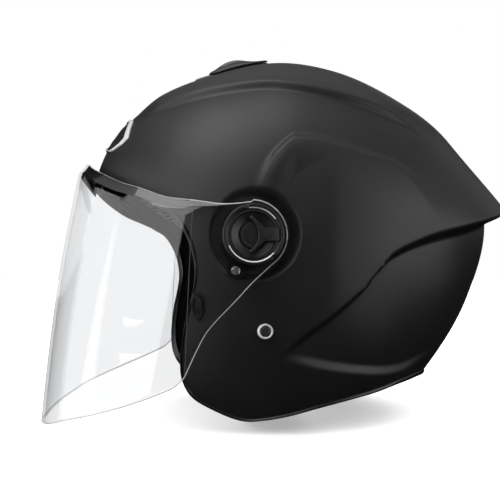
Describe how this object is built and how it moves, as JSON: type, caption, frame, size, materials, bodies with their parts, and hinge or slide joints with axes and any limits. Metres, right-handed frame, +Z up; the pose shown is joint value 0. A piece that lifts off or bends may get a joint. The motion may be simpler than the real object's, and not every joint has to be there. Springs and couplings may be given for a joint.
{
  "type": "open face motorcycle helmet",
  "caption": "Open face motorcycle helmet with a long clear flip-up visor, side pivots, top air scoop, rear spoiler edge and buckled chin strap.",
  "frame": {"origin": "on the ground plane below the middle of the helmet's bounding box", "axes": "+Z up, -Y to the front of the face, +X to the wearer's left"},
  "size_m": [0.2506, 0.3285, 0.2508],
  "materials": {
    "shell_black": "satin",
    "foam_dark": "matte",
    "comfort_fabric": "matte",
    "cheek_fabric": "matte",
    "edge_rubber": "satin",
    "badge_grey": "satin",
    "visor_clear": "gloss",
    "white_nylon": "satin",
    "pivot_black": "satin",
    "steel": "satin",
    "bright_steel": "polished",
    "lever_black": "satin",
    "vent_black": "satin",
    "vent_silver": "satin",
    "cap_dark": "matte",
    "webbing": "matte",
    "chin_fabric": "matte",
    "buckle_black": "satin",
    "lever_red": "satin"
  },
  "bodies": {
    "helmet": {"outer_shell": "shell_black", "foam_liner": "foam_dark", "crown_pad": "comfort_fabric", "brow_pad": "comfort_fabric", "cheek_pad_left": "cheek_fabric", "cheek_pad_right": "cheek_fabric", "neck_roll": "comfort_fabric", "face_edge_trim": "edge_rubber", "neck_edge_trim": "edge_rubber", "pad_snaps": "white_nylon", "visor_bumpers": "cap_dark", "front_badge": "badge_grey", "pivot_base_left": "pivot_black", "pivot_base_right": "pivot_black", "base_screws": "bright_steel", "pivot_bolts": "steel", "pivot_nuts": "steel", "detent_springs": "steel", "detent_plungers": "white_nylon", "pivot_cap_left": "pivot_black", "pivot_cap_right": "pivot_black", "vent_base": "vent_black", "vent_trim": "vent_silver", "vent_scoop": "vent_black", "strap_rivets": "bright_steel", "rivet_caps": "cap_dark"},
    "visor": {"visor": "visor_clear", "ratchet_rings": "white_nylon"},
    "lever_left": {"release_lever_left": "lever_black"},
    "lever_right": {"release_lever_right": "lever_black"},
    "vent_slider": {"vent_slider": "vent_black"},
    "strap": {"strap_anchors": "steel", "chin_strap_left": "webbing", "chin_strap_right": "webbing", "chin_pad": "chin_fabric", "buckle_body": "buckle_black", "buckle_tongue": "steel", "buckle_pin": "bright_steel"},
    "buckle_lever": {"buckle_lever": "lever_red"}
  },
  "joints": [
    {"name": "visor_tilt", "type": "hinge", "parent": "helmet", "child": "visor", "pos_m": [0, -0.0337, 0.121], "axis": [-1, 0, 0], "range_deg": [0, 28]},
    {"name": "release_lever_left_turn", "type": "hinge", "parent": "helmet", "child": "lever_left", "pos_m": [0.1242, -0.0337, 0.121], "axis": [-1, 0, 0], "range_deg": [0, 35]},
    {"name": "release_lever_right_turn", "type": "hinge", "parent": "helmet", "child": "lever_right", "pos_m": [-0.1242, -0.0337, 0.121], "axis": [-1, 0, 0], "range_deg": [0, 35]},
    {"name": "strap_swing", "type": "hinge", "parent": "helmet", "child": "strap", "pos_m": [0, -0.0247, 0.066], "axis": [1, 0, 0], "range_deg": [-12, 12]},
    {"name": "vent_slide", "type": "slide", "parent": "helmet", "child": "vent_slider", "axis": [0, 0.9579, 0.287], "range_m": [0, 0.005]},
    {"name": "buckle_lever_turn", "type": "hinge", "parent": "strap", "child": "buckle_lever", "pos_m": [0.055, -0.0247, 0.022], "axis": [0, 1, 0], "range_deg": [0, 30], "stiffness_Nm_per_rad": 0.02, "springref_deg": -11.46}
  ]
}
